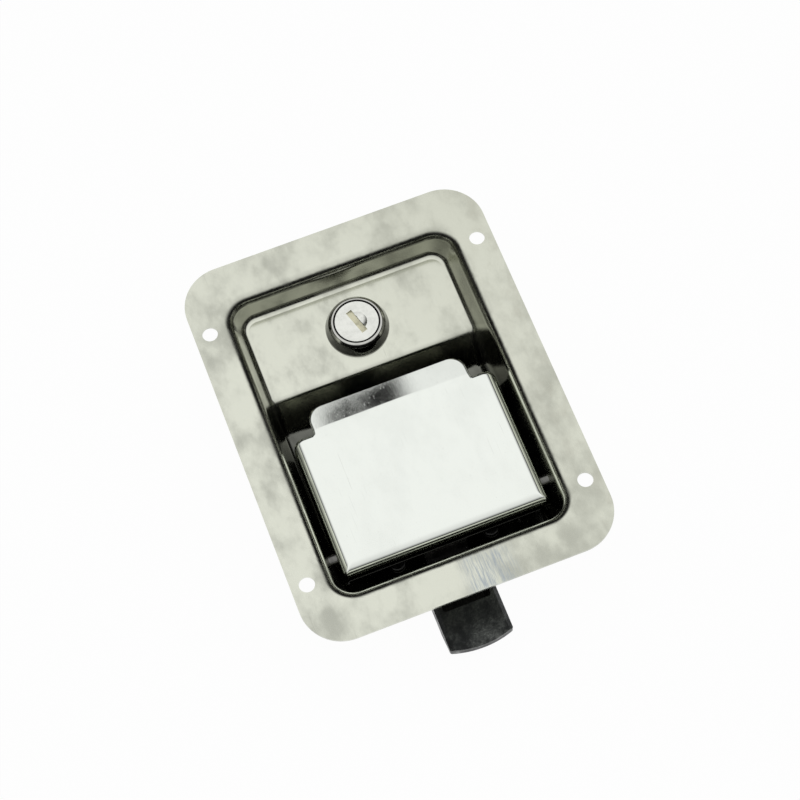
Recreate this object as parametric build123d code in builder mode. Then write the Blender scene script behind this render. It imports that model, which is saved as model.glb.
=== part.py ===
from build123d import *
import math
import os

# Flush paddle latch, single point: a drawn two-level steel pan, a pull paddle hinged in its
# lower half, a spring bolt that slides under the floor and a keyed cam lock on the shelf.
# Millimetres.  +Z points out of the panel, +Y runs from the bolt's end to the lock's end.
# The origin is the centre of the flange, on its back face, which lies against the panel.

os.makedirs("parts", exist_ok=True)

# ---------------------------------------------------------------- driving dimensions
# pan
sheet = 1.2                  # pan's sheet thickness
side_border = 13.0           # flange beside the mouth
end_border = 14.8            # flange above and below the mouth
flange_corner = 14.5
screw_side_inset = 5.5       # from the flange's side edge
screw_end_inset = 22.5       # from the flange's end edge
screw_hole_r = 2.65
side_draft = 17.7            # degrees, upper side walls
end_draft = 8.2              # degrees, upper end walls
deep_draft = 1.2             # degrees, all walls below the shelf
shelf_depth = 12.5           # from the flange's front face
floor_depth = 25.0
wall_turn_below_shelf = 1.0  # the draft changes this far below the shelf
wall_turn_bend = 12.0
mouth_corner = 7.5
well_corner = 5.5
step_top_y = 21.5            # shelf's edge
step_foot_y = 13.3
step_top_bend = 3.0
step_foot_bend = 2.5
mouth_bend = 4.6             # front radius round the mouth
floor_bend = 2.0             # front radius round shelf and floor

# paddle and its hinge
paddle_sheet = 1.5
paddle_half_x = 36.25
paddle_side_gap = 0.4416     # side leaf to the well's wall, where the wall turns upright
paddle_end_gap = 7.0         # turned end to the plane of the mouth's end
paddle_drop = 4.0            # front face, below the flange's front face
paddle_end_y = -48.2         # outside of the end turned down
paddle_fold_y = 1.8          # where plate ends and tab begins
tab_end_y = 11.4
tab_half_x = 28.0
tab_angle = 12.0             # degrees, tab bent inward
tab_corner = 5.0
tab_fold_r = 8.0             # middle of the sheet
tab_root_r = 0.8             # round the notch between tab and shoulder
tab_root_shift = 0.7         # notch's centre beyond the tab's side
side_leaf_depth = 9.5
end_leaf_depth = 7.0
paddle_bend = 1.0            # inside radius of the turned leaves
corner_relief_r = 1.1
shoulder_corner = 3.0
pin_r = 2.0
pin_y = -40.0
pin_head_r = 3.2
pin_head_length = 1.4
pin_head_round = 0.9
pin_end_length = 1.2         # beyond the clip
pin_end_chamfer = 0.4
pin_seat_gap = 0.1           # head and clip to the sloping wall
clip_r = 4.0
clip_thickness = 0.8
clip_side_gap = 0.05         # clip to each side of its groove
groove_r = 1.55
clip_relief = 0.5            # clip's inside to the pin, between its lands
clip_mouth_play = 0.6
clip_land = 1.2
clip_land_width = 1.6
clip_land_gap = 0.05
running_gap = 0.06           # radial, on pins that turn
fixed_gap = 0.03             # radial, on pins and rivets that don't turn
paddle_swing = 35.0          # degrees

# lever on the paddle's underside that drives the bolt
lever_width = 15.0
lever_thickness = 3.0
lever_reach = 21.0           # hinge pin to the centre of the nose
nose_r = 2.0
eye_wall = 1.5
lever_leaf_end_y = -22.0
lever_leaf = 2.7             # thickness of the leaf under the plate
lever_slot_gap = 0.9         # lever to the slot in the floor, all round
slot_corner = 1.5

# bolt, its housing and its spring
bolt_half_x = 11.2
bolt_thickness = 8.0
bolt_tip_y = -80.0
bolt_tip_arc = 30.0
bolt_tip_thickness = 3.4
bolt_tip_corner = 0.9
slam_bevel_length = 10.0
bolt_edge_chamfer = 1.45
bolt_gap = 0.3               # sliding clearance on every side
pocket_half_x = 8.5
pocket_end_y = -65.0
nose_floor_gap = 0.44        # nose to the pocket's floor, half way through the swing
drive_gap = 0.4              # nose to the pocket's wall at rest
return_wire = 0.9            # wire of the paddle's return spring
return_r = 2.9
return_pitch = 1.1
return_x = 21.0
return_turns = 5 + 1 / 3
return_leg = 6.0             # leg under the plate
floor_leg_lean = 30.0        # degrees
return_leg_gap = 0.15        # end of the other leg to the floor
spring_wire = 0.9
spring_outer_r = 3.5
spring_side_gap = 0.4        # spring to the sides of its slot in the bolt
spring_end_gap = 0.05
pocket_corner = 1.0
spring_coils = 9
spring_slot_y = -39.0        # bolt's end of the spring
stop_tab_y = -8.5            # rear face of the tab that the spring pushes on
housing_sheet = 1.5
housing_front_y = -49.5
housing_rear_y = 8.0
housing_bend = 1.05          # middle of the sheet
foot_width = 7.5
foot_corner = 3.0
stop_tab_clearance = 0.7     # end of the tab to the pan
stop_tab_side_cut = 0.3      # lancing cut beside the tab
rivet_r = 1.6
rivet_head_r = 2.9
rivet_head_height = 1.2
rivet_head_round = 0.9
rivet_tail_r = 2.5
rivet_tail_chamfer = 0.5
rivet_x = 16.8
rivet_front_y = -44.0
rivet_rear_y = 2.0

# cam lock
lock_end_inset = 18.4        # axis to the plane of the mouth's end
bezel_base_r = 11.0
bezel_top_r = 9.8
bezel_cone_height = 3.9
bezel_height = 5.1
bezel_foot = 0.5             # upright band at the bezel's foot
bezel_round = 1.0
head_bore_chamfer = 0.4
wafer_groove = 1.2           # depth that the body's wafer grooves go beyond the bore
wafer_groove_gap = 0.2       # wafer to the groove's sides
face_ring_r = 8.7
head_bore_r = 7.55
lock_body_r = 9.5
lock_flat = 8.25             # axis to each flat
lock_body_depth = 14.9       # below the shelf's front face
panel_hole_gap = 0.15
nut_flat = 11.0
nut_height = 4.5
nut_turned_r = 12.2          # corners turned off to this radius
thread_gap = 0.05
washer_r = 11.5
washer_thickness = 1.0
washer_gap = 0.3
washer_teeth = 12
washer_tooth_depth = 0.8
washer_tooth_width = 1.2
plug_head_r = 7.5
plug_head_depth = 3.8
plug_r = 6.0
plug_bore_r = 6.05
plug_face_recess = 0.15
key_tilt = 17.0              # degrees, keyway's lean at rest
key_slot_width = 2.2
key_slot_height = 9.3
keyway_width = 2.0
keyway_height = 8.4
keyway_depth = 18.0
key_pocket_depth = 3.9       # chamber that the shutter folds into
chamber_width = 3.4
chamber_shift = -0.4         # chamber's middle, off the keyway's
chamber_end_gap = 0.2
face_skin = 0.6
dish_r = 3.6
dish_depth = 1.1
wafer_count = 5
wafer_pitch = 2.4
wafer_first = 7.1            # below the bezel's face
wafer_thickness = 1.0
wafer_width = 6.1
wafer_gap = 0.05
wafer_step = 0.4             # between key depths
wafer_cut_width = 2.6
wafer_cut_height = 6.0
tail_half = 3.4              # square tail of the plug
shutter_axis_u = -1.45       # across the keyway
shutter_barrel_r = 0.5
shutter_pin_r = 0.25
shutter_pin_gap = 0.04
shutter_top_gap = 0.12
shutter_end_lap = 0.05       # beyond each end of the slot
shutter_thickness = 0.5
shutter_edge_u = 1.1
shutter_spring_sheet = 0.15
leaf_knee_drop = 1.6         # below the shutter's axis
leaf_bend = 0.4
leaf_tip_u = 0.2
leaf_tip_gap = 0.25
leaf_half_v = 1.5
square_gap = 0.05            # square tail to the holes that it drives
stop_washer_thickness = 1.0
stop_washer_r = 8.8
cam_thickness = 2.0
cam_hub_r = 8.0
cam_half_width = 5.0
cam_reach = 22.4
cam_gap = 0.1
bolt_cam_gap = 0.4           # drawn-back bolt to the turned cam
spring_washer_thickness = 0.8
spring_washer_r = 4.8
spring_washer_gap = 0.3
spring_washer_split = 0.5
screw_r = 1.6
screw_head_r = 3.8
screw_head_height = 2.4
screw_length = 6.0
screw_head_round = 1.0
screw_end_gap = 0.5          # screw's end to the bottom of its hole
cross_length = 3.6
cross_width = 0.9
cross_depth = 1.4



def tan(angle):
    return math.tan(math.radians(angle))


def sin(angle):
    return math.sin(math.radians(angle))


def cos(angle):
    return math.cos(math.radians(angle))


# ---------------------------------------------------------------- derived sizes and levels
mouth_half_x = paddle_half_x + paddle_side_gap + (shelf_depth + wall_turn_below_shelf) * tan(side_draft)
mouth_half_y = paddle_end_gap - paddle_end_y
flange_width = 2 * (mouth_half_x + side_border)
flange_length = 2 * (mouth_half_y + end_border)
screw_spacing_x = flange_width - 2 * screw_side_inset
screw_spacing_y = flange_length - 2 * screw_end_inset
lock_y = mouth_half_y - lock_end_inset
front_z = sheet
shelf_z = front_z - shelf_depth
shelf_back_z = shelf_z - sheet
floor_z = front_z - floor_depth
floor_back_z = floor_z - sheet
paddle_z = front_z - paddle_drop
paddle_under_z = paddle_z - paddle_sheet
eye_r = pin_r + running_gap + eye_wall
pin_z = paddle_under_z - eye_r
bolt_z = floor_back_z - bolt_gap
bolt_back_z = bolt_z - bolt_thickness
housing_z = bolt_back_z - bolt_gap
lean = paddle_swing / 2      # the lever leans this much one way at rest, the other way when pulled
bolt_travel = 2 * lever_reach * sin(lean)
nose_y = pin_y - lever_reach * sin(lean)
nose_z = pin_z - lever_reach * cos(lean)
drive_wall_y = nose_y + nose_r + drive_gap
pocket_depth = bolt_z - (pin_z - lever_reach - nose_r) + nose_floor_gap
bolt_tail_y = lock_y - cam_reach - bolt_cam_gap - bolt_travel
face_z = shelf_z + bezel_height
plug_face_z = face_z - plug_face_recess
body_end_z = shelf_z - lock_body_depth
plug_end_z = body_end_z - cam_gap
rivet_places = [
    (side * rivet_x, rivet_y) for rivet_y in (rivet_front_y, rivet_rear_y) for side in (-1, 1)
]


def wall_x(depth):
    """Half width of the well between its upper side walls, at a depth below the flange."""
    return mouth_half_x - depth * tan(side_draft)


# ---------------------------------------------------------------- pan
def well_form(skin):
    """The space inside the well, or with skin = sheet the outside of its drawn sheet."""
    turn_depth = shelf_depth + wall_turn_below_shelf
    deep = floor_depth + skin
    mouth_x = mouth_half_x + skin / cos(side_draft)
    mouth_y = mouth_half_y + skin / cos(end_draft)
    turn_x = mouth_x - turn_depth * tan(side_draft)
    turn_y = mouth_y - turn_depth * tan(end_draft)
    deep_x = turn_x - (deep - turn_depth) * tan(deep_draft)
    deep_y = turn_y - (deep - turn_depth) * tan(deep_draft)
    turn_z = front_z - turn_depth
    with BuildPart() as walls:
        with BuildSketch(Plane.XY.offset(front_z)) as mouth:
            RectangleRounded(2 * mouth_x, 2 * mouth_y, mouth_corner + skin)
        with BuildSketch(Plane.XY.offset(turn_z)) as turn:
            RectangleRounded(2 * turn_x, 2 * turn_y, well_corner + skin)
        loft(sections=[mouth.sketch, turn.sketch])
        with BuildSketch(Plane.XY.offset(front_z - deep)) as bottom:
            RectangleRounded(2 * deep_x, 2 * deep_y, well_corner + skin)
        loft(sections=[turn.sketch, bottom.sketch])
        fillet(walls.edges().filter_by_position(Axis.Z, turn_z - 0.01, turn_z + 0.01), wall_turn_bend)

    # floor, step and shelf as one bent strip, wider than the well, trimmed by its walls
    step_lean = math.atan2(step_top_y - step_foot_y, floor_depth - shelf_depth)
    skin_shift = skin / math.cos(step_lean) - skin * math.tan(step_lean)
    low = front_z - deep
    high = shelf_z - skin
    reach = flange_length / 2
    with BuildPart() as form:
        with BuildSketch(Plane.YZ):
            with BuildLine():
                FilletPolyline(
                    (-reach, front_z),
                    (-reach, low),
                    (step_foot_y + skin_shift, low),
                    (step_top_y + skin_shift, high),
                    (reach, high),
                    (reach, front_z),
                    radius=[0, 0, step_foot_bend + skin, step_top_bend - skin, 0, 0],
                    close=True,
                )
            make_face()
        extrude(amount=flange_width / 2, both=True)
        add(walls.part, mode=Mode.INTERSECT)
        floor_faces = form.faces().filter_by(lambda f: abs(f.center().X) < 0.001 and f.normal_at().Z < -0.3)
        rim = form.edges().filter_by(lambda e: sum(e in f.edges() for f in floor_faces) == 1)
        fillet(rim, floor_bend + skin)
    return form.part


well_space = well_form(0.0)
well_skin = well_form(sheet)
mouth_zone_x = mouth_half_x + mouth_bend + 1
mouth_zone_y = mouth_half_y + mouth_bend + 1


def mouth_edges(edges, level):
    """The edges round the mouth at a level, without those of the flange's outline."""
    near = edges.filter_by_position(Axis.Z, level - 0.01, level + 0.01)
    return near.filter_by(lambda e: abs(e.center().X) < mouth_zone_x and abs(e.center().Y) < mouth_zone_y)


with BuildPart() as pan:
    with BuildSketch():
        RectangleRounded(flange_width, flange_length, flange_corner)
    extrude(amount=sheet)
    add(well_skin)
    fillet(mouth_edges(pan.edges(), 0), mouth_bend - sheet)
    add(well_space, mode=Mode.SUBTRACT)
    fillet(mouth_edges(pan.edges(), front_z), mouth_bend)
    with GridLocations(screw_spacing_x, screw_spacing_y, 2, 2):
        Hole(screw_hole_r)
    # lock hole in the shelf, with two flats
    with BuildSketch(Plane.XY.offset(shelf_z + sheet)):
        with Locations((0, lock_y)):
            Circle(lock_body_r + panel_hole_gap)
            Rectangle(2 * (lock_flat + panel_hole_gap), 3 * lock_body_r, mode=Mode.INTERSECT)
    extrude(amount=-3 * sheet, mode=Mode.SUBTRACT)
    # slot that the lever swings in
    lever_sweep = (floor_back_z - pin_z) * -tan(lean) + lever_thickness / 2 / cos(lean)
    lever_slot_x = lever_width + 2 * lever_slot_gap
    lever_slot_y = 2 * (lever_sweep + lever_slot_gap)
    with BuildSketch(Plane.XY.offset(floor_z + sheet)):
        with Locations((0, pin_y)):
            RectangleRounded(lever_slot_x, lever_slot_y, slot_corner)
        with Locations(rivet_places):
            Circle(rivet_r + fixed_gap)
    extrude(amount=-3 * sheet, mode=Mode.SUBTRACT)
    # holes for the hinge pin through both side walls
    with BuildSketch(Plane.YZ):
        with Locations((pin_y, pin_z)):
            Circle(pin_r + fixed_gap)
    extrude(amount=flange_width / 2, both=True, mode=Mode.SUBTRACT)
pan.part.label = "pan"
export_step(pan.part, "parts/pan.step")

# ---------------------------------------------------------------- hinge pin and its clip
pin_wall_x = wall_x(front_z - pin_z) + sheet / cos(side_draft)
head_x = pin_wall_x + pin_head_r * tan(side_draft) + pin_seat_gap
clip_x = pin_wall_x + clip_r * tan(side_draft) + pin_seat_gap

with BuildPart() as hinge_pin:
    with BuildSketch(Plane.YZ.offset(-head_x)):
        with Locations((pin_y, pin_z)):
            Circle(pin_r)
    extrude(amount=head_x + clip_x + clip_thickness + pin_end_length)
    with BuildSketch(Plane.YZ.offset(-head_x)):
        with Locations((pin_y, pin_z)):
            Circle(pin_head_r)
    extrude(amount=-pin_head_length)
    fillet(hinge_pin.edges().sort_by(Axis.X)[0], pin_head_round)
    with BuildSketch(Plane.YZ.offset(clip_x)):
        with Locations((pin_y, pin_z)):
            Circle(pin_r + 1)
            Circle(groove_r, mode=Mode.SUBTRACT)
    extrude(amount=clip_thickness + 2 * clip_side_gap, mode=Mode.SUBTRACT)
    chamfer(hinge_pin.edges().sort_by(Axis.X)[-1], pin_end_chamfer)
hinge_pin.part.label = "hinge_pin"
export_step(hinge_pin.part, "parts/hinge_pin.step")

with BuildPart() as hinge_pin_clip:
    with BuildSketch(Plane.YZ.offset(clip_x + clip_side_gap)):
        with Locations((pin_y, pin_z)):
            Circle(clip_r)
            Circle(pin_r + clip_relief, mode=Mode.SUBTRACT)
        with Locations((pin_y, pin_z - clip_r)):
            Rectangle(2 * groove_r + clip_mouth_play, 2 * clip_r, mode=Mode.SUBTRACT)
        # three lands that bear on the groove
        land_place = groove_r + clip_land_gap + clip_land / 2
        with Locations((pin_y, pin_z + land_place)):
            Rectangle(clip_land_width, clip_land)
        with Locations((pin_y - land_place, pin_z), (pin_y + land_place, pin_z)):
            Rectangle(clip_land, clip_land_width)
    extrude(amount=clip_thickness)
hinge_pin_clip.part.label = "hinge_pin_clip"
export_step(hinge_pin_clip.part, "parts/hinge_pin_clip.step")

# ---------------------------------------------------------------- paddle
mid_bend = paddle_bend + paddle_sheet / 2
mid_z = paddle_z - paddle_sheet / 2
mid_x = paddle_half_x - paddle_sheet / 2
mid_end_y = paddle_end_y + paddle_sheet / 2
tab_reach = tab_end_y - paddle_fold_y + paddle_sheet
corner_x = paddle_half_x - paddle_bend - paddle_sheet
corner_y = paddle_end_y + paddle_bend + paddle_sheet

with BuildPart() as paddle_length:
    # end leaf, plate and tab, seen from the side
    with BuildSketch(Plane.YZ):
        with BuildLine():
            FilletPolyline(
                (mid_end_y, paddle_z - end_leaf_depth),
                (mid_end_y, mid_z),
                (paddle_fold_y, mid_z),
                (paddle_fold_y + tab_reach, mid_z - tab_reach * tan(tab_angle)),
                radius=[mid_bend, tab_fold_r],
            )
        trace(line_width=paddle_sheet)
    extrude(amount=corner_x, both=True)

with BuildPart() as paddle:
    # plate and side leaves, seen from the end
    with BuildSketch(Plane.XZ.offset(-paddle_fold_y)):
        with BuildLine():
            FilletPolyline(
                (-mid_x, paddle_z - side_leaf_depth),
                (-mid_x, mid_z),
                (mid_x, mid_z),
                (mid_x, paddle_z - side_leaf_depth),
                radius=mid_bend,
            )
        trace(line_width=paddle_sheet)
    extrude(amount=paddle_fold_y - corner_y)
    add(paddle_length.part)
    # outline seen from the front: shoulders, tab and relief cuts
    with BuildSketch(Plane.XY.offset(paddle_z + 1)) as outline:
        with BuildSketch(mode=Mode.PRIVATE) as body_outline:
            with Locations((0, (paddle_fold_y + paddle_end_y) / 2)):
                Rectangle(2 * paddle_half_x, paddle_fold_y - paddle_end_y)
            fillet(body_outline.vertices().group_by(Axis.Y)[-1], shoulder_corner)
        with BuildSketch(mode=Mode.PRIVATE) as tab_outline:
            with Locations((0, tab_end_y / 2)):
                Rectangle(2 * tab_half_x, tab_end_y)
            fillet(tab_outline.vertices().group_by(Axis.Y)[-1], tab_corner)
        add(body_outline.sketch)
        add(tab_outline.sketch)
        for side in (-1, 1):
            with Locations((side * (tab_half_x + tab_root_shift), paddle_fold_y)):
                Circle(tab_root_r, mode=Mode.SUBTRACT)
        with Locations((-corner_x, corner_y), (corner_x, corner_y)):
            Circle(corner_relief_r, mode=Mode.SUBTRACT)
    extrude(amount=-side_leaf_depth - 2, mode=Mode.INTERSECT)
    with BuildSketch(Plane.YZ):
        with Locations((pin_y, pin_z)):
            Circle(pin_r + running_gap)
    extrude(amount=paddle_half_x + 1, both=True, mode=Mode.SUBTRACT)
paddle.part.label = "paddle"
export_step(paddle.part, "parts/paddle.step")

# ---------------------------------------------------------------- paddle lever
with BuildPart() as paddle_lever:
    with BuildSketch(Plane.YZ) as lever_side:
        with Locations((pin_y, pin_z)):
            Circle(eye_r)
        with BuildLine():
            Polyline(
                (pin_y, paddle_under_z),
                (lever_leaf_end_y, paddle_under_z),
                (lever_leaf_end_y, paddle_under_z - lever_leaf),
                (pin_y, paddle_under_z - lever_leaf),
                close=True,
            )
        make_face()
        with Locations(Location(((pin_y + nose_y) / 2, (pin_z + nose_z) / 2), 90 - lean)):
            Rectangle(lever_reach, lever_thickness)
        with Locations((nose_y, nose_z)):
            Circle(nose_r)
        with Locations((pin_y, pin_z)):
            Circle(pin_r + running_gap, mode=Mode.SUBTRACT)
    extrude(amount=lever_width / 2, both=True)
paddle_lever.part.label = "paddle_lever"
export_step(paddle_lever.part, "parts/paddle_lever.step")

# ---------------------------------------------------------------- paddle return spring
with BuildPart() as paddle_spring:
    with BuildLine() as return_path:
        coil = Helix(
            return_pitch,
            return_pitch * return_turns,
            return_r,
            center=(return_x, pin_y, pin_z),
            direction=(1, 0, 0),
            lefthand=True,
        )
        coil_start = coil @ 0
        coil_end = coil @ 1
        upper_leg = Line((coil_start.X, coil_start.Y - return_leg, coil_start.Z), coil_start)
        floor_leg_drop = coil_end.Z - floor_z - return_wire / 2 - return_leg_gap
        foot_y = coil_end.Y - floor_leg_drop * tan(floor_leg_lean)
        Line(coil_end, (coil_end.X, foot_y, coil_end.Z - floor_leg_drop))
    with BuildSketch(Plane(origin=upper_leg @ 0, z_dir=upper_leg % 0)):
        Circle(return_wire / 2)
    sweep(path=return_path.wires()[0], is_frenet=True)
paddle_spring.part.label = "paddle_spring"
export_step(paddle_spring.part, "parts/paddle_spring.step")

# ---------------------------------------------------------------- bolt
spring_slot_half = spring_outer_r + spring_side_gap
spring_z = bolt_z - bolt_thickness / 2
slot_rear_y = stop_tab_y + bolt_gap
tip_corner_y = bolt_tip_y + bolt_tip_arc - math.sqrt(bolt_tip_arc ** 2 - bolt_half_x ** 2)
with BuildPart() as bolt:
    # bar with its two front edges chamfered
    with BuildSketch(Plane.XZ.offset(-bolt_tail_y)) as bar:
        with Locations((0, spring_z)):
            Rectangle(2 * bolt_half_x, bolt_thickness)
        chamfer(bar.vertices().group_by(Axis.Y)[-1], bolt_edge_chamfer)
    extrude(amount=bolt_tail_y - bolt_tip_y)
    # plan outline with the rounded tip
    with BuildSketch(Plane.XY.offset(bolt_z)) as bolt_plan:
        with BuildLine():
            ThreePointArc((-bolt_half_x, tip_corner_y), (0, bolt_tip_y), (bolt_half_x, tip_corner_y))
            Polyline(
                (bolt_half_x, tip_corner_y),
                (bolt_half_x, bolt_tail_y),
                (-bolt_half_x, bolt_tail_y),
                (-bolt_half_x, tip_corner_y),
            )
        make_face()
        fillet(bolt_plan.vertices().filter_by(lambda v: abs(v.Y - tip_corner_y) < 0.01), bolt_tip_corner)
    extrude(amount=-bolt_thickness, mode=Mode.INTERSECT)
    # slam bevel on the back of the tip
    with BuildSketch(Plane.YZ):
        with BuildLine():
            Polyline(
                (bolt_tip_y, bolt_z - bolt_tip_thickness),
                (bolt_tip_y + slam_bevel_length, bolt_back_z),
                (bolt_tip_y, bolt_back_z),
                close=True,
            )
        make_face()
    extrude(amount=2 * bolt_half_x, both=True, mode=Mode.SUBTRACT)
    # pocket for the lever's nose, long enough for the bolt to slam back past it
    with BuildSketch(Plane.XY.offset(bolt_z)):
        with Locations((0, (pocket_end_y + drive_wall_y) / 2)):
            RectangleRounded(2 * pocket_half_x, drive_wall_y - pocket_end_y, pocket_corner)
    extrude(amount=-pocket_depth, mode=Mode.SUBTRACT)
    # slot for the spring and the housing's stop tab
    with BuildSketch(Plane.XY.offset(bolt_z)):
        with Locations((0, (spring_slot_y + slot_rear_y) / 2)):
            RectangleRounded(2 * spring_slot_half, slot_rear_y - spring_slot_y, pocket_corner)
    extrude(amount=-bolt_thickness, mode=Mode.SUBTRACT)
bolt.part.label = "bolt"
export_step(bolt.part, "parts/bolt.step")

# ---------------------------------------------------------------- bolt spring
spring_mean_r = spring_outer_r - spring_wire / 2
spring_rest = stop_tab_y - housing_sheet - spring_slot_y
spring_coil_length = spring_rest - spring_wire - 2 * spring_end_gap
with BuildPart() as bolt_spring:
    with BuildLine() as coil_path:
        coil = Helix(
            spring_coil_length / spring_coils,
            spring_coil_length,
            spring_mean_r,
            center=(0, spring_slot_y + spring_wire / 2 + spring_end_gap, spring_z),
            direction=(0, 1, 0),
        )
    with BuildSketch(Plane(origin=coil @ 0, z_dir=coil % 0)):
        Circle(spring_wire / 2)
    sweep(path=coil_path.wires()[0], is_frenet=True)
bolt_spring.part.label = "bolt_spring"
export_step(bolt_spring.part, "parts/bolt_spring.step")

# ---------------------------------------------------------------- bolt housing and its rivets
side_x = bolt_half_x + bolt_gap
web_mid_z = housing_z - housing_sheet / 2
foot_mid_z = floor_back_z - housing_sheet / 2
side_mid_x = side_x + housing_sheet / 2
foot_end_x = side_x + housing_sheet + foot_width
with BuildPart() as bolt_housing:
    with BuildSketch(Plane.XZ.offset(-housing_rear_y)):
        with BuildLine():
            FilletPolyline(
                (-foot_end_x, foot_mid_z),
                (-side_mid_x, foot_mid_z),
                (-side_mid_x, web_mid_z),
                (side_mid_x, web_mid_z),
                (side_mid_x, foot_mid_z),
                (foot_end_x, foot_mid_z),
                radius=housing_bend,
            )
        trace(line_width=housing_sheet)
    extrude(amount=housing_rear_y - housing_front_y)
    fillet(bolt_housing.edges().filter_by(Axis.Z).group_by(SortBy.DISTANCE)[-1], foot_corner)
    # stop tab lanced out of the web, and the window that it leaves
    tab_height = bolt_z - housing_z - stop_tab_clearance
    with BuildSketch(Plane.XY.offset(housing_z + 1)):
        with Locations((0, stop_tab_y + tab_height / 2)):
            Rectangle(2 * spring_outer_r, tab_height)
    extrude(amount=-2 * housing_sheet - 1, mode=Mode.SUBTRACT)
    with BuildSketch(Plane.XY.offset(housing_z - housing_sheet)):
        with Locations((0, stop_tab_y - housing_sheet / 2)):
            Rectangle(2 * (spring_outer_r - stop_tab_side_cut), housing_sheet)
    extrude(amount=tab_height + housing_sheet)
    with Locations(rivet_places):
        Hole(rivet_r + fixed_gap)
bolt_housing.part.label = "bolt_housing"
export_step(bolt_housing.part, "parts/bolt_housing.step")

with BuildPart() as one_rivet:
    with BuildSketch(Plane.XY.offset(floor_z)):
        Circle(rivet_head_r)
    extrude(amount=rivet_head_height)
    fillet(one_rivet.edges().sort_by(Axis.Z)[-1], rivet_head_round)
    with BuildSketch(Plane.XY.offset(floor_z)):
        Circle(rivet_r)
    extrude(amount=-sheet - housing_sheet)
    with BuildSketch(Plane.XY.offset(floor_back_z - housing_sheet)):
        Circle(rivet_tail_r)
    extrude(amount=-rivet_head_height)
    chamfer(one_rivet.edges().sort_by(Axis.Z)[0], rivet_tail_chamfer)

with BuildPart() as housing_rivets:
    with Locations(rivet_places):
        add(one_rivet.part)
housing_rivets.part.label = "housing_rivets"
export_step(housing_rivets.part, "parts/housing_rivets.step")

# ---------------------------------------------------------------- lock body, washer and nut
key_plane = Plane(origin=(0, lock_y, 0), x_dir=(cos(key_tilt), sin(key_tilt), 0))
lock_plane = Plane(origin=(0, lock_y, 0))

with BuildPart() as lock_body:
    # bezel turned about the lock's axis
    with BuildSketch(Plane(origin=(0, lock_y, shelf_z), x_dir=(1, 0, 0), z_dir=(0, -1, 0))) as bezel:
        with BuildLine():
            Polyline(
                (0, 0),
                (bezel_base_r, 0),
                (bezel_base_r, bezel_foot),
                (bezel_top_r, bezel_cone_height),
                (face_ring_r, bezel_height),
                (0, bezel_height),
                close=True,
            )
        make_face()
        cone_corners = bezel.vertices().filter_by(lambda v: v.X > face_ring_r - 0.1 and v.Y > bezel_foot)
        fillet(cone_corners, bezel_round)
    revolve(axis=Axis((0, lock_y, 0), (0, 0, 1)))
    with BuildSketch(lock_plane.offset(shelf_z)):
        Circle(lock_body_r)
        Rectangle(2 * lock_flat, 3 * lock_body_r, mode=Mode.INTERSECT)
    extrude(amount=-lock_body_depth)
    with BuildSketch(lock_plane.offset(face_z)):
        Circle(head_bore_r)
    extrude(amount=-plug_head_depth - plug_face_recess - cam_gap, mode=Mode.SUBTRACT)
    with BuildSketch(lock_plane.offset(face_z)):
        Circle(plug_bore_r)
    extrude(amount=-bezel_height - lock_body_depth, mode=Mode.SUBTRACT)
    chamfer(lock_body.faces().sort_by(Axis.Z)[-1].edges().sort_by(SortBy.LENGTH)[0], head_bore_chamfer)
    # grooves that the wafers drop into when the key is out
    with BuildSketch(key_plane.offset(face_z - wafer_first + wafer_pitch / 2)):
        Rectangle(wafer_width + 2 * wafer_groove_gap, 2 * (plug_bore_r + wafer_groove))
    extrude(amount=-wafer_count * wafer_pitch, mode=Mode.SUBTRACT)
lock_body.part.label = "lock_body"
export_step(lock_body.part, "parts/lock_body.step")

with BuildPart() as lock_washer:
    with BuildSketch(lock_plane.offset(shelf_back_z)):
        Circle(washer_r)
        Circle(lock_body_r + washer_gap, mode=Mode.SUBTRACT)
        with PolarLocations(washer_r, washer_teeth):
            Rectangle(2 * washer_tooth_depth, washer_tooth_width, mode=Mode.SUBTRACT)
    extrude(amount=-washer_thickness)
lock_washer.part.label = "lock_washer"
export_step(lock_washer.part, "parts/lock_washer.step")

nut_z = shelf_back_z - washer_thickness
with BuildPart() as lock_nut:
    with BuildSketch(lock_plane.offset(nut_z)):
        RegularPolygon(nut_flat, 6, major_radius=False)
    extrude(amount=-nut_height)
    # corners turned off at both ends
    with BuildSketch(lock_plane.offset(nut_z)):
        Circle(nut_turned_r)
    extrude(amount=-nut_height, mode=Mode.INTERSECT)
    with BuildSketch(lock_plane.offset(nut_z)):
        Circle(lock_body_r + thread_gap)
    extrude(amount=-nut_height, mode=Mode.SUBTRACT)
lock_nut.part.label = "lock_nut"
export_step(lock_nut.part, "parts/lock_nut.step")

# ---------------------------------------------------------------- plug, with its wafers
key_pocket_z = plug_face_z - face_skin
dish_sphere = (dish_r ** 2 + dish_depth ** 2) / (2 * dish_depth)
with BuildPart() as dish:
    with Locations((0, lock_y, plug_face_z - dish_depth + dish_sphere)):
        Sphere(dish_sphere)
    with BuildSketch(key_plane.offset(plug_face_z)):
        with Locations((key_slot_width / 2 + dish_r, 0)):
            Rectangle(2 * dish_r, 3 * dish_r)
    extrude(amount=-2 * dish_depth, mode=Mode.INTERSECT)

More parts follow.
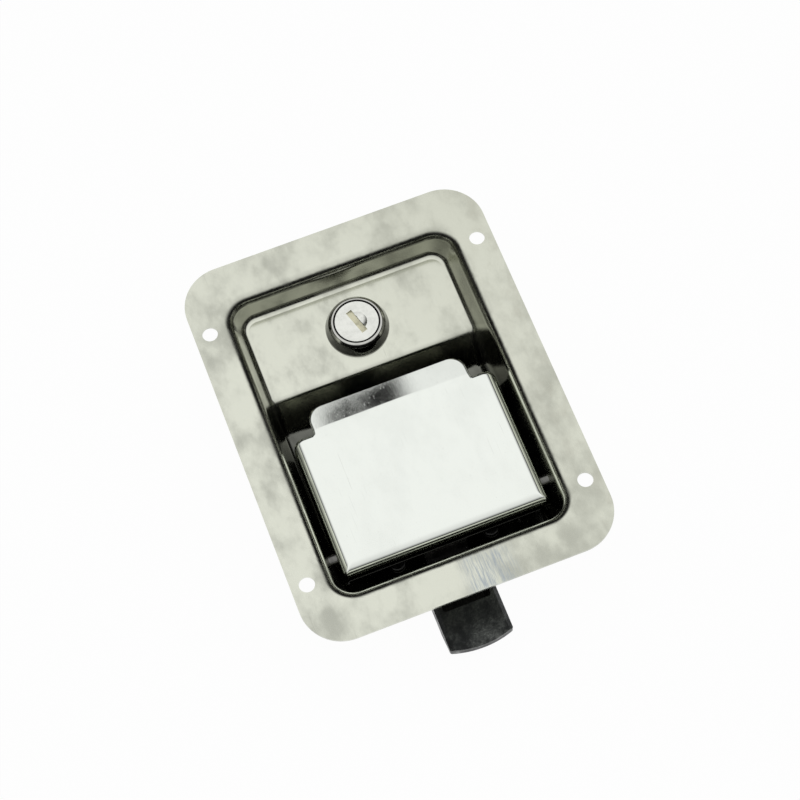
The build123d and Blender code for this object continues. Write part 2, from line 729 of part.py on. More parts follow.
with BuildPart() as lock_plug:
    with BuildSketch(lock_plane.offset(plug_face_z)):
        Circle(plug_head_r)
    extrude(amount=-plug_head_depth)
    with BuildSketch(lock_plane.offset(plug_face_z)):
        Circle(plug_r)
    extrude(amount=plug_end_z - plug_face_z)
    with BuildSketch(key_plane.offset(plug_end_z)):
        Rectangle(2 * tail_half, 2 * tail_half)
    extrude(amount=-stop_washer_thickness - cam_thickness)
    # slot in the face, the shutter's chamber behind it, then the keyway
    with BuildSketch(key_plane.offset(plug_face_z)):
        Rectangle(key_slot_width, key_slot_height)
    extrude(amount=-face_skin, mode=Mode.SUBTRACT)
    with BuildSketch(key_plane.offset(key_pocket_z)):
        with Locations((chamber_shift, 0)):
            Rectangle(chamber_width, key_slot_height + 2 * chamber_end_gap)
    extrude(amount=-key_pocket_depth, mode=Mode.SUBTRACT)
    with BuildSketch(key_plane.offset(key_pocket_z)):
        Rectangle(keyway_width, keyway_height)
    extrude(amount=-keyway_depth, mode=Mode.SUBTRACT)
    # half-moon dish beside the slot
    add(dish.part, mode=Mode.SUBTRACT)
    for index in range(wafer_count):
        with BuildSketch(key_plane.offset(face_z - wafer_first - index * wafer_pitch)):
            Rectangle(wafer_width + 2 * wafer_gap, 3 * plug_r)
        extrude(amount=-wafer_thickness - 2 * wafer_gap, mode=Mode.SUBTRACT)
    # threaded hole for the cam's screw
    with BuildSketch(lock_plane.offset(plug_end_z - stop_washer_thickness - cam_thickness)):
        Circle(screw_r + fixed_gap)
    extrude(amount=screw_length - spring_washer_thickness + screw_end_gap, mode=Mode.SUBTRACT)
lock_plug.part.label = "lock_plug"
export_step(lock_plug.part, "parts/lock_plug.step")

for index in range(wafer_count):
    cut_shift = wafer_step * (index % 3 - 1)    # the five wafers are cut for different key depths
    with BuildPart() as wafer:
        with BuildSketch(key_plane.offset(face_z - wafer_first - wafer_gap - index * wafer_pitch)):
            Circle(plug_r - wafer_gap)
            Rectangle(wafer_width, 3 * plug_r, mode=Mode.INTERSECT)
            with Locations((0, cut_shift)):
                Rectangle(wafer_cut_width, wafer_cut_height, mode=Mode.SUBTRACT)
        extrude(amount=-wafer_thickness)
    wafer.part.label = f"wafer_{index + 1}"
    export_step(wafer.part, f"parts/wafer_{index + 1}.step")

# ---------------------------------------------------------------- keyway shutter
shutter_z = key_pocket_z - shutter_top_gap
shutter_axis_z = shutter_z - shutter_barrel_r
shutter_half_v = key_slot_height / 2 + shutter_end_lap
shutter_plane = Plane(origin=(0, lock_y, 0), x_dir=key_plane.x_dir, z_dir=-key_plane.y_dir)
with BuildPart() as keyway_shutter:
    with BuildSketch(shutter_plane) as shutter_side:
        with Locations((shutter_axis_u, shutter_axis_z)):
            Circle(shutter_barrel_r)
        with Locations(((shutter_axis_u + shutter_edge_u) / 2, shutter_z - shutter_thickness / 2)):
            Rectangle(shutter_edge_u - shutter_axis_u, shutter_thickness)
        with Locations((shutter_axis_u, shutter_axis_z)):
            Circle(shutter_pin_r + shutter_pin_gap, mode=Mode.SUBTRACT)
    extrude(amount=shutter_half_v, both=True)
keyway_shutter.part.label = "keyway_shutter"
export_step(keyway_shutter.part, "parts/keyway_shutter.step")

with BuildPart() as shutter_pin:
    with BuildSketch(shutter_plane):
        with Locations((shutter_axis_u, shutter_axis_z)):
            Circle(shutter_pin_r)
    extrude(amount=key_slot_height / 2 + chamber_end_gap, both=True)
shutter_pin.part.label = "shutter_pin"
export_step(shutter_pin.part, "parts/shutter_pin.step")

chamber_wall_u = chamber_shift - chamber_width / 2
leaf_u = chamber_wall_u + shutter_spring_sheet
leaf_foot_z = key_pocket_z - key_pocket_depth + shutter_spring_sheet
leaf_tip_z = shutter_z - shutter_thickness - leaf_tip_gap
with BuildPart() as shutter_spring:
    with BuildSketch(shutter_plane):
        with BuildLine():
            FilletPolyline(
                (leaf_u, leaf_foot_z),
                (leaf_u, shutter_axis_z - leaf_knee_drop),
                (leaf_tip_u, leaf_tip_z),
                radius=leaf_bend,
            )
        trace(line_width=shutter_spring_sheet)
    extrude(amount=leaf_half_v, both=True)
shutter_spring.part.label = "shutter_spring"
export_step(shutter_spring.part, "parts/shutter_spring.step")

# ---------------------------------------------------------------- cam and what holds it
with BuildPart() as stop_washer:
    with BuildSketch(key_plane.offset(plug_end_z)):
        Circle(stop_washer_r)
        Rectangle(2 * (tail_half + square_gap), 2 * (tail_half + square_gap), mode=Mode.SUBTRACT)
    extrude(amount=-stop_washer_thickness)
stop_washer.part.label = "stop_washer"
export_step(stop_washer.part, "parts/stop_washer.step")

cam_z = plug_end_z - stop_washer_thickness
with BuildPart() as lock_cam:
    with BuildSketch(lock_plane.offset(cam_z)):
        Circle(cam_hub_r)
        with Locations((-(cam_reach - cam_half_width) / 2, 0)):
            Rectangle(cam_reach - cam_half_width, 2 * cam_half_width)
        with Locations((-(cam_reach - cam_half_width), 0)):
            Circle(cam_half_width)
    extrude(amount=-cam_thickness)
    with BuildSketch(key_plane.offset(cam_z)):
        Rectangle(2 * (tail_half + square_gap), 2 * (tail_half + square_gap))
    extrude(amount=-cam_thickness, mode=Mode.SUBTRACT)
lock_cam.part.label = "lock_cam"
export_step(lock_cam.part, "parts/lock_cam.step")

spring_washer_z = cam_z - cam_thickness
with BuildPart() as cam_spring_washer:
    with BuildSketch(lock_plane.offset(spring_washer_z)):
        Circle(spring_washer_r)
        Circle(screw_r + spring_washer_gap, mode=Mode.SUBTRACT)
        with Locations((spring_washer_r, 0)):
            Rectangle(2 * spring_washer_r, spring_washer_split, mode=Mode.SUBTRACT)
    extrude(amount=-spring_washer_thickness)
cam_spring_washer.part.label = "cam_spring_washer"
export_step(cam_spring_washer.part, "parts/cam_spring_washer.step")

screw_head_z = spring_washer_z - spring_washer_thickness
with BuildPart() as cam_screw:
    with BuildSketch(lock_plane.offset(screw_head_z)):
        Circle(screw_r)
    extrude(amount=screw_length)
    with BuildSketch(lock_plane.offset(screw_head_z)):
        Circle(screw_head_r)
    extrude(amount=-screw_head_height)
    fillet(cam_screw.edges().sort_by(Axis.Z)[0], screw_head_round)
    # cross recess
    with BuildSketch(lock_plane.offset(screw_head_z - screw_head_height)):
        Rectangle(cross_length, cross_width)
        Rectangle(cross_width, cross_length)
    extrude(amount=cross_depth, mode=Mode.SUBTRACT)
cam_screw.part.label = "cam_screw"
export_step(cam_screw.part, "parts/cam_screw.step")
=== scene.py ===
import math

import bpy
import numpy as np
from mathutils import Matrix, Vector


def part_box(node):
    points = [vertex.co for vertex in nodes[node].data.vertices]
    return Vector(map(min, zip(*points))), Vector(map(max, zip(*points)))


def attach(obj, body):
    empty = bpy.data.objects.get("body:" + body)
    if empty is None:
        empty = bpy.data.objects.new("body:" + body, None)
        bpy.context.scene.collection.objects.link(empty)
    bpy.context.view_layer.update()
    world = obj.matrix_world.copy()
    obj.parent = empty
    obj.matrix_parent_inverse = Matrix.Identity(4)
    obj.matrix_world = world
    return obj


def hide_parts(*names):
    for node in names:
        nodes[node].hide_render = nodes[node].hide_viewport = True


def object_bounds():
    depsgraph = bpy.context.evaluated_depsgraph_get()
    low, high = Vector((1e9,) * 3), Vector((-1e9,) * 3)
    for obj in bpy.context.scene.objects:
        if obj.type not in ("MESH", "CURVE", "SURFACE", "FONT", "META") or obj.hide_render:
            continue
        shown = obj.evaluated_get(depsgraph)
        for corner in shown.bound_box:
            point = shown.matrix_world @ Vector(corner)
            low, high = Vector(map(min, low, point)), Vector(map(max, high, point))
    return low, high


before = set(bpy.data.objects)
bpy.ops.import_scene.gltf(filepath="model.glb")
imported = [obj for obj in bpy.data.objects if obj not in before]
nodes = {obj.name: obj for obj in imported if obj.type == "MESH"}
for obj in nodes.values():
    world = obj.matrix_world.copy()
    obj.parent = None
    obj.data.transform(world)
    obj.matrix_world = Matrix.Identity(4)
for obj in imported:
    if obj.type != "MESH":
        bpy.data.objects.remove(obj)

cad_low, cad_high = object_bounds()
scene = bpy.context.scene

# ---------------------------------------------------------------- camera
camera_place = (-0.0760, -0.2638, 0.6695)
camera_data = bpy.data.cameras.new("camera")
camera_data.sensor_width = 36.0
camera_data.lens = 97.96
camera_data.clip_start = 0.05
camera_data.clip_end = 20.0
camera = bpy.data.objects.new("camera", camera_data)
scene.collection.objects.link(camera)
camera_right = Vector((0.9325, -0.3597, -0.0333)).normalized()
camera_back = Vector((-0.1084, -0.3664, 0.9241)).normalized()
camera_up = camera_back.cross(camera_right).normalized()
camera_right = camera_up.cross(camera_back)
camera_axes = Matrix((camera_right, camera_up, camera_back)).transposed().to_4x4()
camera.matrix_world = Matrix.Translation(camera_place) @ camera_axes
scene.camera = camera


# ---------------------------------------------------------------- shader maths
class Field:
    """A value that changes over a surface; arithmetic on it adds Math nodes."""

    def __init__(self, graph, socket):
        self.graph = graph
        self.socket = socket

    def maths(self, operation, first, second):
        return self.graph.node("ShaderNodeMath", {"operation": operation}, {0: first, 1: second})

    def __add__(self, other):
        return self.maths("ADD", self, other)

    __radd__ = __add__

    def __sub__(self, other):
        return self.maths("SUBTRACT", self, other)

    def __rsub__(self, other):
        return self.maths("SUBTRACT", other, self)

    def __mul__(self, other):
        return self.maths("MULTIPLY", self, other)

    __rmul__ = __mul__

    def __truediv__(self, other):
        return self.maths("DIVIDE", self, other)

    def __rtruediv__(self, other):
        return self.maths("DIVIDE", other, self)

    def __pow__(self, other):
        return self.maths("POWER", self, other)

    def __abs__(self):
        return self.graph.node("ShaderNodeMath", {"operation": "ABSOLUTE"}, {0: self})

    def more(self, other):
        return self.maths("MAXIMUM", self, other)


class Graph:
    """A node tree; node() is the one way in, and fields come out of it."""

    def __init__(self, tree):
        self.tree = tree

    def node(self, kind, settings=None, inputs=None, out=0):
        node = self.tree.nodes.new(kind)
        for name, value in (settings or {}).items():
            setattr(node, name, value)
        for name, value in (inputs or {}).items():
            if isinstance(value, Field):
                self.tree.links.new(value.socket, node.inputs[name])
            else:
                node.inputs[name].default_value = value
        return Field(self, node.outputs[out])

    def ease(self, field, low, high, at_low=0.0, at_high=1.0):
        """A smooth step of the field from at_low, below low, to at_high, above high."""
        return self.node(
            "ShaderNodeMapRange",
            {"clamp": True, "interpolation_type": "SMOOTHSTEP"},
            {0: field, 1: low, 2: high, 3: at_low, 4: at_high},
        )

    def band(self, field, centre, half, soft):
        """One near the centre, falling to nothing half + soft away from it."""
        return self.ease(abs(field - centre), half, half + soft, 1.0, 0.0)

    def tint(self, factor, first, second):
        """The first colour where the factor is nought, the second where it is one."""
        first_socket, second_socket, colour_out = 6, 7, 2
        colours = [c if isinstance(c, Field) else (*c, 1) for c in (first, second)]
        inputs = {0: factor, first_socket: colours[0], second_socket: colours[1]}
        return self.node("ShaderNodeMix", {"data_type": "RGBA"}, inputs, out=colour_out)

    def axes(self, vector):
        return [self.node("ShaderNodeSeparateXYZ", {}, {0: vector}, out=i) for i in range(3)]


class Finish(Graph):
    """A material whose Principled shader takes constants, then fields for what varies."""

    def __init__(self, name, **constants):
        self.material = bpy.data.materials.new(name)
        self.material.use_nodes = True
        super().__init__(self.material.node_tree)
        self.shader = self.tree.nodes["Principled BSDF"]
        for socket, value in constants.items():
            self.shader.inputs[socket.replace("_", " ")].default_value = value
        self.place = self.node("ShaderNodeTexCoord", out="Object")

    def feed(self, socket, field):
        self.tree.links.new(field.socket, self.shader.inputs[socket])

    def noise(self, grain, detail, roughness, turn=0.0, shift=0.0):
        """Noise whose grain along each axis is in millimetres, turned about z by degrees."""
        stretched = self.node(
            "ShaderNodeMapping",
            {},
            {
                "Vector": self.place,
                "Location": (shift, shift, shift),
                "Rotation": (0, 0, math.radians(turn)),
                "Scale": [1000 / g for g in grain],
            },
        )
        inputs = {"Vector": stretched, "Scale": 1.0, "Detail": detail, "Roughness": roughness}
        return self.node("ShaderNodeTexNoise", {}, inputs)

    def bump(self, height, distance):
        self.feed("Normal", self.node("ShaderNodeBump", {}, {"Distance": distance, "Height": height}))


# ---------------------------------------------------------------- sizes from the frame
paddle_low, paddle_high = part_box("paddle")
half_x = paddle_high.x
end_y = paddle_low.y
paddle_top = paddle_high.z
lock_low, lock_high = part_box("lock_body")
lock_axis_y = (lock_low.y + lock_high.y) / 2
lock_top = lock_high.z

# ---------------------------------------------------------------- materials
# Painted shade: a near black laid into recesses, gaps and undersides where shade falls.
painted_shade_black = (0.02, 0.02, 0.02)


class DrawnSteel(Finish):
    """Sheet steel as it leaves the press: mottled, faintly grained, with handling scratches."""

    def __init__(self, name, colour, polish, dull, stain, wave):
        super().__init__(name, Metallic=1.0)
        self.polish, self.dull, self.wave = polish, dull, wave
        blotch = self.noise((17, 26, 17), 3, 0.55)
        cloud = self.noise((6, 9, 6), 4, 0.62, turn=35, shift=3.1)
        self.rolled = self.noise((0.22, 7.0, 0.22), 3, 0.55)
        streaks = self.noise((0.35, 16, 0.35), 2, 0.5, turn=28, shift=7.7)
        self.scratch = self.ease(streaks, 0.70, 0.78)
        speck = self.ease(self.noise((0.9, 0.9, 0.9), 2, 0.6, shift=1.3), 0.70, 0.80)
        self.mark = self.ease(blotch * 0.65 + cloud * 0.35, 0.42, 0.66)
        self.tone = self.tint(self.mark, colour, [c * (1 - stain) for c in colour])
        self.paint(self.scratch * 0.25, [c * 0.45 for c in colour])
        self.paint(speck * 0.22, [c * 0.3 for c in colour])

    def paint(self, factor, colour):
        """Lay a colour over the steel's tone by a factor."""
        self.tone = self.tint(factor, self.tone, colour)

    def close(self):
        """Link colour, roughness and the small bumps; the material comes back."""
        self.feed("Base Color", self.tone)
        worn = self.ease(self.mark, 0, 1, self.polish, self.dull)
        self.feed("Roughness", worn + (self.rolled - 0.5) * 0.05)
        swell = self.noise((24, 30, 24), 1, 0.4, shift=5.0)
        self.bump(swell * self.wave + self.rolled * 0.0012 - self.scratch * 0.004, 0.001)
        return self.material


def pan_finish():
    """The pan: mottled flange with a bluish rubbed patch; painted shade darkens it toward +x and +y.

    The walls carry a painted dark reflection and the sunk floor a painted shadow; these tones are
    laid on by position, so they stay dark in any light.
    """
    rub_x, rub_y = (0.008, 0.005, 0.006), (-0.0645, 0.004, 0.005)  # centre, half, soft
    worn_side_x = (0.040, 0.052)
    mouth_z, shelf_z = (-0.0008, -0.0035), (-0.0112, -0.0100)
    shade_x, shade_y = (-0.02, 0.05), (0.02, 0.07)
    sunk_z, sunk_y = (-0.0185, -0.0125), (0.0, 0.020)
    rub_blue, worn_grey = (0.34, 0.39, 0.44), (0.46, 0.45, 0.38)
    wall_reflection_grey, painted_shade_grey = (0.20, 0.20, 0.17), (0.52, 0.53, 0.44)

    finish = DrawnSteel("pan_steel", (0.71, 0.725, 0.63), 0.15, 0.27, 0.34, 0.02)
    x, y, z = finish.axes(finish.place)
    rub = finish.band(x, *rub_x) * finish.band(y, *rub_y)
    ground = finish.ease(finish.noise((0.5, 6, 0.5), 3, 0.6, shift=2.2), 0.35, 0.7)
    finish.paint(rub * ground * 0.85, rub_blue)
    patches = finish.ease(finish.noise((5, 9, 5), 4, 0.6, shift=9), 0.4, 0.7)
    finish.paint(finish.ease(x, *worn_side_x) * patches * 0.45, worn_grey)
    # Painted reflection: the walls between mouth and shelf are darkened to stand for the studio's
    # dark reflections.
    painted_wall_reflection = finish.ease(z, *mouth_z) * finish.ease(z, *shelf_z)
    finish.paint(painted_wall_reflection * 0.55, wall_reflection_grey)
    # Painted shade: the pan is darkened toward +x and +y.
    shade = finish.ease(x, *shade_x) * 0.5 + finish.ease(y, *shade_y) * 0.3
    finish.paint(shade * 0.5, painted_shade_grey)
    # Painted shade: the sunk floor under the paddle is nearly black.
    sunk_floor_shade = finish.ease(z, *sunk_z, 1.0, 0.0) * finish.ease(y, *sunk_y, 1.0, 0.75)
    finish.paint(sunk_floor_shade * 0.93, painted_shade_black)
    return finish.close()


def paddle_finish():
    """The paddle: polished face, with painted shade underneath and a painted shaded spot at the notch
    in each end corner.
    """
    under_z = (-0.0075, -0.0043)
    notch_x = (half_x - 0.0006, 0.0006, 0.0004)  # centre, half, soft
    notch_y = (end_y + 0.0008, 0.0007, 0.0005)
    painted_notch_shade = (0.01, 0.01, 0.01)

    finish = DrawnSteel("paddle_steel", (0.86, 0.89, 0.84), 0.02, 0.05, 0.05, 0.006)
    x, y, z = finish.axes(finish.place)
    # Painted shade: the underside is nearly black.
    finish.paint(finish.ease(z, *under_z, 1.0, 0.0) * 0.92, painted_shade_black)
    # Painted shade: a near-black spot at each end corner where the notch lies in shade.
    finish.paint(finish.band(abs(x), *notch_x) * finish.band(y, *notch_y), painted_notch_shade)
    return finish.close()


def lock_finish():
    """The lock's chromed body: a painted lit ring round the plug, and painted shade in the groove and
    on the sides.
    """
    rim_z = (lock_top - 0.0012, lock_top - 0.0003)
    groove_radius = (0.0080, 0.0083)
    shaded_side_grey, lit_ring_grey, mark_grey = (0.16, 0.16, 0.15), (0.62, 0.62, 0.58), (0.40, 0.40, 0.38)

    finish = Finish("lock_chrome", Metallic=1.0, Roughness=0.09)
    x, y, z = finish.axes(finish.place)
    radius = (x * x + (y - lock_axis_y) * (y - lock_axis_y)) ** 0.5
    mark = finish.ease(finish.noise((2.5, 2.5, 2.5), 4, 0.6), 0.38, 0.68)
    # Painted light and shade: the lit tone on the rim, and the shaded tone on the sides.
    tone = finish.tint(finish.ease(z, *rim_z), shaded_side_grey, lit_ring_grey)
    tone = finish.tint(mark * 0.3, tone, mark_grey)
    # Painted shade: the groove round the plug is nearly black.
    groove_shade = finish.ease(radius, *groove_radius, 1.0, 0.0)
    finish.feed("Base Color", finish.tint(groove_shade, tone, painted_shade_black))
    return finish.material


def plain_metal(name, colour, polish, dull, stain=0.2, grain=(0.4, 0.4, 0.4)):
    """A small metal piece: two tones, uneven polish and a fine tooth."""
    finish = Finish(name, Metallic=1.0)
    mark = finish.ease(finish.noise((2.5, 2.5, 2.5), 4, 0.6), 0.38, 0.68)
    tooth = finish.noise(grain, 3, 0.6, shift=4.4)
    finish.feed("Base Color", finish.tint(mark, colour, [c * (1 - stain) for c in colour]))
    finish.feed("Roughness", finish.ease(mark, 0, 1, polish, dull) + (tooth - 0.5) * 0.06)
    finish.bump(tooth * 0.004, 0.001)
    return finish.material


def bolt_finish():
    """Die-cast bolt, dark, rubbed lighter toward the tip, with painted shade back under the flange's
    edge and blackest in its pocket.
    """
    tip_y = (-0.0800, -0.0700)
    pocket_z, pocket_x = (-0.0275, -0.0257), (0, 0.0080, 0.0007)
    cast_grey, rubbed_grey = (0.022, 0.024, 0.024), (0.17, 0.18, 0.17)
    painted_pocket_shade = (0.003, 0.003, 0.003)

    finish = Finish("bolt_metal", Metallic=0.75)
    x, y, z = finish.axes(finish.place)
    wear = finish.ease(finish.noise((4, 4, 4), 5, 0.65), 0.36, 0.68)
    speck = finish.ease(finish.noise((0.7, 0.7, 0.7), 3, 0.6, shift=6), 0.42, 0.66)
    # Wear rubs the tip lighter; the fall to 0.35 back under the flange's edge is painted shade.
    tip_wear_and_flange_shade = finish.ease(y, *tip_y, 1.0, 0.35)
    tone = finish.tint(wear * tip_wear_and_flange_shade * (0.55 + speck * 0.45), cast_grey, rubbed_grey)
    # Painted shade: the pocket is nearly black.
    pocket_shade = finish.ease(z, *pocket_z, 1.0, 0.0) * finish.band(x, *pocket_x)
    finish.feed("Base Color", finish.tint(pocket_shade, tone, painted_pocket_shade))
    finish.feed("Roughness", finish.ease(wear, 0, 1, 0.42, 0.30))
    finish.bump(speck * 0.02 + wear * 0.02, 0.001)
    return finish.material


finishes = {
    "pan_steel": pan_finish(),
    "paddle_steel": paddle_finish(),
    "plated_steel": plain_metal("plated_steel", (0.55, 0.56, 0.54), 0.28, 0.42),
    # Pins: a dark steel tone painted in to stand for the shade and dark reflections they sit in.
    "pin_steel": plain_metal("pin_steel", (0.16, 0.16, 0.15), 0.20, 0.34),
    "clip_steel": plain_metal("clip_steel", (0.22, 0.22, 0.23), 0.30, 0.42),
    "spring_steel": plain_metal("spring_steel", (0.42, 0.42, 0.41), 0.22, 0.36),
    "bolt_metal": bolt_finish(),
    # Rivets: a near-black tone painted in to stand for the shade and dark reflections they sit in.
    "rivet_steel": plain_metal("rivet_steel", (0.05, 0.05, 0.05), 0.30, 0.45),
    "lock_chrome": lock_finish(),
    "nut_steel": plain_metal("nut_steel", (0.58, 0.58, 0.52), 0.30, 0.42),
    "plug_metal": plain_metal("plug_metal", (0.80, 0.81, 0.76), 0.17, 0.25, 0.10, (0.2, 2.0, 0.2)),
    "shutter_brass": plain_metal("shutter_brass", (0.62, 0.60, 0.44), 0.28, 0.42, 0.25),
    "cam_steel": plain_metal("cam_steel", (0.60, 0.60, 0.55), 0.28, 0.42),
    "screw_steel": plain_metal("screw_steel", (0.56, 0.56, 0.54), 0.24, 0.36),
    "wafer_brass": plain_metal("wafer_brass", (0.70, 0.52, 0.22), 0.26, 0.38),
}
nodes_of = {
    "bolt_metal": ["bolt"],
    "plated_steel": ["bolt_housing", "lock_washer", "paddle_lever", "stop_washer"],
    "spring_steel": ["bolt_spring", "cam_spring_washer", "paddle_spring", "shutter_spring"],
    "screw_steel": ["cam_screw"],
    "pin_steel": ["hinge_pin", "shutter_pin"],
    "clip_steel": ["hinge_pin_clip"],
    "rivet_steel": ["housing_rivets"],
    "shutter_brass": ["keyway_shutter"],
    "lock_chrome": ["lock_body"],
    "cam_steel": ["lock_cam"],
    "nut_steel": ["lock_nut"],
    "plug_metal": ["lock_plug"],
    "paddle_steel": ["paddle"],
    "pan_steel": ["pan"],
    "wafer_brass": ["wafer_1", "wafer_2", "wafer_3", "wafer_4", "wafer_5"],
}
for slot, names in nodes_of.items():
    for name in names:
        nodes[name].data.materials.clear()
        nodes[name].data.materials.append(finishes[slot])

# ---------------------------------------------------------------- paddle
sheet = 0.0015
edge_bend = 0.0046           # outside radius of the turned leaves
end_leaf = 0.0070            # depths of the leaves below the plate's face
side_leaf = paddle_top - paddle_low.z
shoulder_y = 0.0018          # where the plate ends beside the tab
shoulder_round = 0.0030
tab_half_x = 0.0280
tab_round = 0.0050
tab_lean = math.radians(12)
tab_fold = 0.0080            # radius of the fold between plate and tab

bend_points = 15             # round a turned edge
leaf_rows = 4                # straight down, below the turned edge
between_columns = 4          # from the tab's side to the turned edge
tab_columns = 61
plate_rows = 40
fold_rows = 8
tab_rows = 28
empty_face = 1e-12           # twice a face's area, square metres
weld_distance = 1e-6


def leaf_profile(flat, depth):
    """Distance out and drop along a turned edge, starting at flat.

    Out is flat plus the bend's radius times the sine of the angle, and the drop is the radius
    times one less its cosine, for angles from 0 to 90 degrees.  The leaf then goes straight
    down to its depth.
    """
    angle = np.linspace(0, math.pi / 2, bend_points)
    out = flat + edge_bend * np.sin(angle)
    drop = edge_bend * (1 - np.cos(angle))
    leaf = np.linspace(edge_bend, depth, leaf_rows + 1)[1:]
    out = np.concatenate([out, np.full(leaf_rows, flat + edge_bend)])
    return out, np.concatenate([drop, leaf])


def plate_grid(tab_x):
    """Plate and leaves: the height is the face's, less the greater of two drops.

    One drop grows toward the side leaves and the other toward the end leaf, and taking the
    greater one mitres the corners.  The last row lies at the shoulder, less its rounding, plus
    the root of the rounding squared less the square of how far x is into the rounding.
    """
    side_x, side_drop = leaf_profile(half_x - edge_bend, side_leaf)
    between = np.linspace(tab_half_x, half_x - edge_bend, between_columns + 2)[1:-1]
    x = np.concatenate([-side_x[::-1], -between[::-1], tab_x, between, side_x])
    level = np.zeros(len(x) - 2 * len(side_x))
    x_drop = np.concatenate([side_drop[::-1], level, side_drop])
    back, back_drop = leaf_profile(-end_y - edge_bend, end_leaf)
    corner = np.clip(np.abs(x) - half_x + shoulder_round, 0, shoulder_round)
    last_y = shoulder_y - shoulder_round + np.sqrt(shoulder_round**2 - corner**2)
    share = np.linspace(0, 1, plate_rows + 1)[1:, None]
    start = -back[0]
    leaf_y = np.repeat(-back[::-1, None], len(x), 1)
    y = np.concatenate([leaf_y, start + share * (last_y - start)])
    y_drop = np.concatenate([back_drop[::-1], np.zeros(plate_rows)])
    z = paddle_top - np.maximum(x_drop[None, :], y_drop[:, None])
    return np.stack([np.broadcast_to(x, y.shape), y, z], -1)


def tab_grid(tab_x):
    """Pull tab: an arc of the fold's radius through the lean, then a straight run.

    On the arc y grows by the radius times the sine of the angle, and the drop by the radius
    times one less its cosine.  The straight run drops by its length times the tangent of the
    lean.  Near its end the half width is the full one, less the rounding, plus the root of the
    rounding squared less the square of how far y is into the rounding.
    """
    turn = np.linspace(0, tab_lean, fold_rows + 1)[1:]
    y = shoulder_y + tab_fold * np.sin(turn)
    drop = tab_fold * (1 - np.cos(turn))
    run = (paddle_high.y - y[-1]) * np.sin(np.linspace(0, math.pi / 2, tab_rows + 1)[1:])
    drop = np.concatenate([drop, drop[-1] + run * math.tan(tab_lean)])
    y = np.concatenate([y, y[-1] + run])
    corner = np.clip(y - paddle_high.y + tab_round, 0, tab_round)
    narrow = (tab_half_x - tab_round + np.sqrt(tab_round**2 - corner**2)) / tab_half_x
    x = narrow[:, None] * tab_x
    return np.stack(np.broadcast_arrays(x, y[:, None], paddle_top - drop[:, None]), -1)


def faces_between(index, points):
    """Four-cornered faces between neighbouring rows and columns, without the empty ones."""
    corners = [index[:-1, :-1], index[:-1, 1:], index[1:, 1:], index[1:, :-1]]
    quads = np.stack(corners, -1).reshape(-1, 4)
    first_diagonal = points[quads[:, 2]] - points[quads[:, 0]]
    second_diagonal = points[quads[:, 3]] - points[quads[:, 1]]
    size = np.linalg.norm(np.cross(first_diagonal, second_diagonal), axis=1)
    return quads[size > empty_face].tolist()


def bent_paddle():
    """The paddle's bent sheet: the tab's rows start from the plate's last row."""
    tab_x = np.linspace(-tab_half_x, tab_half_x, tab_columns)
    plate, tab = plate_grid(tab_x), tab_grid(tab_x)
    points = np.concatenate([plate.reshape(-1, 3), tab.reshape(-1, 3)])
    rows, columns = plate.shape[:2]
    plate_index = np.arange(rows * columns).reshape(rows, columns)
    tab_index = rows * columns + np.arange(tab.shape[0] * tab_columns).reshape(tab.shape[:2])
    first = (columns - tab_columns) // 2
    tab_root = plate_index[-1:, first : first + tab_columns]
    faces = faces_between(plate_index, points)
    faces += faces_between(np.concatenate([tab_root, tab_index]), points)

    mesh = bpy.data.meshes.new("bent_paddle")
    mesh.from_pydata(points.tolist(), [], faces)
    mesh.validate()
    for polygon in mesh.polygons:
        polygon.use_smooth = True
    obj = bpy.data.objects.new("bent_paddle", mesh)
    scene.collection.objects.link(obj)
    weld = obj.modifiers.new("weld", "WELD")
    weld.merge_threshold = weld_distance
    thick = obj.modifiers.new("sheet", "SOLIDIFY")
    thick.thickness = sheet
    thick.offset = -1
    obj.data.materials.append(finishes["paddle_steel"])
    return obj


paddle = bent_paddle()
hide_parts("paddle")
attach(paddle, "paddle")

# ---------------------------------------------------------------- studio
scene.view_settings.view_transform = "Standard"


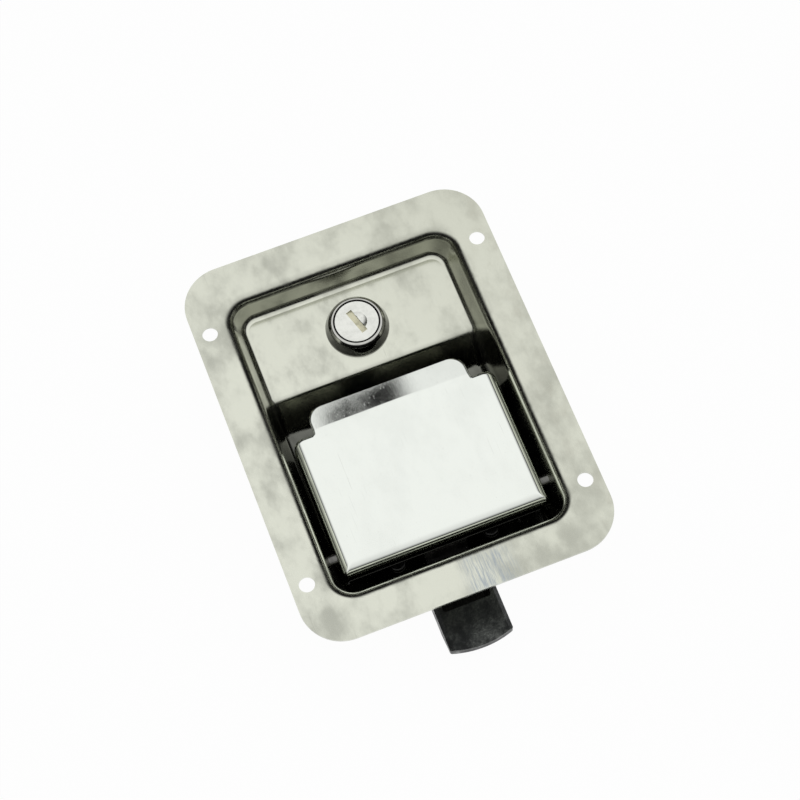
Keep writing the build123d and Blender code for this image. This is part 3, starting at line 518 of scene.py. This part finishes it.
def card(name, half, level):
    """A level square of the given half side."""
    mesh = bpy.data.meshes.new(name)
    corners = [(-half, -half, level), (half, -half, level), (half, half, level), (-half, half, level)]
    mesh.from_pydata(corners, [], [(0, 1, 2, 3)])
    obj = bpy.data.objects.new(name, mesh)
    scene.collection.objects.link(obj)
    return obj


def seen_rays(graph):
    """One for rays that show the background directly or in metal or glass."""
    kinds = ("Camera", "Glossy", "Transmission")
    direct, glossy, through = (
        graph.node("ShaderNodeLightPath", out=f"Is {kind} Ray") for kind in kinds
    )
    return direct.more(glossy).more(through)


floor_half, floor_gap = 3.0, 0.0004
floor = card("floor", floor_half, cad_low.z - floor_gap)
paper = Finish("floor_paper", Base_Color=(0.90, 0.90, 0.90, 1), Roughness=0.9)
glow = paper.node("ShaderNodeEmission")
seen = seen_rays(paper) * 0.97
lit = Field(paper, paper.shader.outputs[0])
blend = paper.node("ShaderNodeMixShader", {}, {0: seen, 1: lit, 2: glow})
paper.tree.links.new(blend.socket, paper.tree.nodes["Material Output"].inputs[0])
floor.data.materials.append(paper.material)

# A bright tent overhead, dark toward the horizon, with one dark streak that the tab reflects.
# Camera rays see white.
tent_up, tent_levels = (0.40, 0.76), (0.01, 1.0)
fade_front, fade_levels = (-0.95, 0.1), (0.75, 1.0)
streak_front, streak_side = (0.7138, 0.0030, 0.0040), (0.0925, 0.014, 0.010)  # centre, half, soft
world = bpy.data.worlds.new("studio")
world.use_nodes = True
scene.world = world
room = Graph(world.node_tree)
side, front, up = room.axes(room.node("ShaderNodeTexCoord", out="Generated"))
tent = room.ease(up, *tent_up, *tent_levels)
shine = tent * room.ease(front, *fade_front, *fade_levels)
streak = room.band(front, *streak_front) * room.band(side, *streak_side)
shine = shine * (1 - streak * 0.97)
backdrop = room.node("ShaderNodeLightPath", out="Is Camera Ray")
strength = shine.more(backdrop)
sky = room.node("ShaderNodeBackground", {}, {"Color": (1, 1, 1, 1), "Strength": strength})
room.tree.links.new(sky.socket, room.tree.nodes["World Output"].inputs[0])
